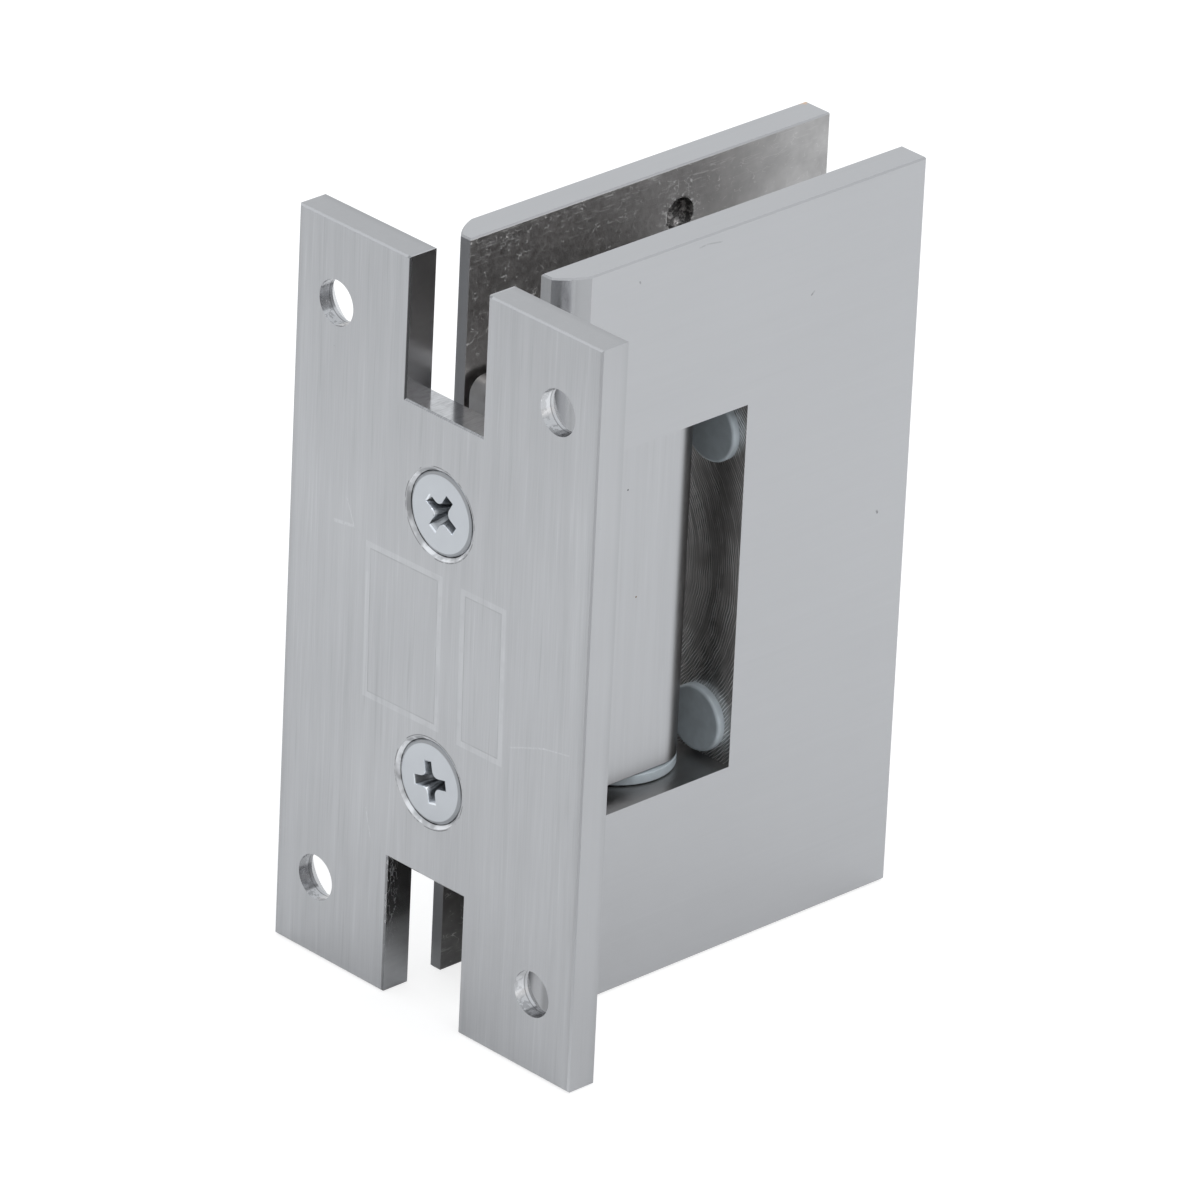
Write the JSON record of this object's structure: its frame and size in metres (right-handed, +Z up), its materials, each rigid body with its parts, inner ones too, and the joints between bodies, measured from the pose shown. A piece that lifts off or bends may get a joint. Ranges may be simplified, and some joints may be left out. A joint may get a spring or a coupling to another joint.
{
  "type": "glass door hinge",
  "caption": "Wall-mounted hinge for a frameless glass door: H-shaped wall plate, pivot block and a two-plate glass clamp that swings both ways.",
  "frame": {"origin": "centre of the wall plate's face that lies on the wall", "axes": "+X into the door, +Y from the front plate to the cover plate, +Z up along the pin"},
  "size_m": [0.0622, 0.0476, 0.0888],
  "materials": {
    "satin_nickel": "solid brass with brushed satin nickel plating",
    "bright_zinc": "bright zinc-plated steel",
    "black_steel": "black oxide alloy steel",
    "stainless_pin": "ground stainless steel",
    "spring_steel": "hardened and tempered spring steel",
    "acetal": "natural acetal",
    "clear_nylon": "translucent natural nylon"
  },
  "bodies": {
    "wall_leaf": {"wall_plate": "satin_nickel", "pivot_block": "satin_nickel", "upper_block_screw": "bright_zinc", "lower_block_screw": "bright_zinc", "upper_sleeve": "acetal", "lower_sleeve": "acetal", "upper_washer": "clear_nylon", "lower_washer": "clear_nylon", "inner_leaf_spring": "spring_steel", "middle_leaf_spring": "spring_steel", "outer_leaf_spring": "spring_steel"},
    "follower": {"follower_bar": "acetal"},
    "glass_clamp": {"clamp_body": "satin_nickel", "cover_plate": "satin_nickel", "pivot_pin": "stainless_pin", "upper_set_screw": "black_steel", "lower_set_screw": "black_steel", "upper_clamp_screw": "bright_zinc", "lower_clamp_screw": "bright_zinc", "upper_bumper": "clear_nylon", "lower_bumper": "clear_nylon"}
  },
  "joints": [
    {"name": "door_swing", "type": "hinge", "parent": "wall_leaf", "child": "glass_clamp", "pos_m": [0.02797, 0, 0], "axis": [0, 0, 1], "range_deg": [-90, 90]},
    {"name": "follower_travel", "type": "slide", "parent": "wall_leaf", "child": "follower", "axis": [1, 0, 0], "range_m": [0, 0.0009], "stiffness_N_per_m": 2000, "springref_m": 0.002}
  ]
}
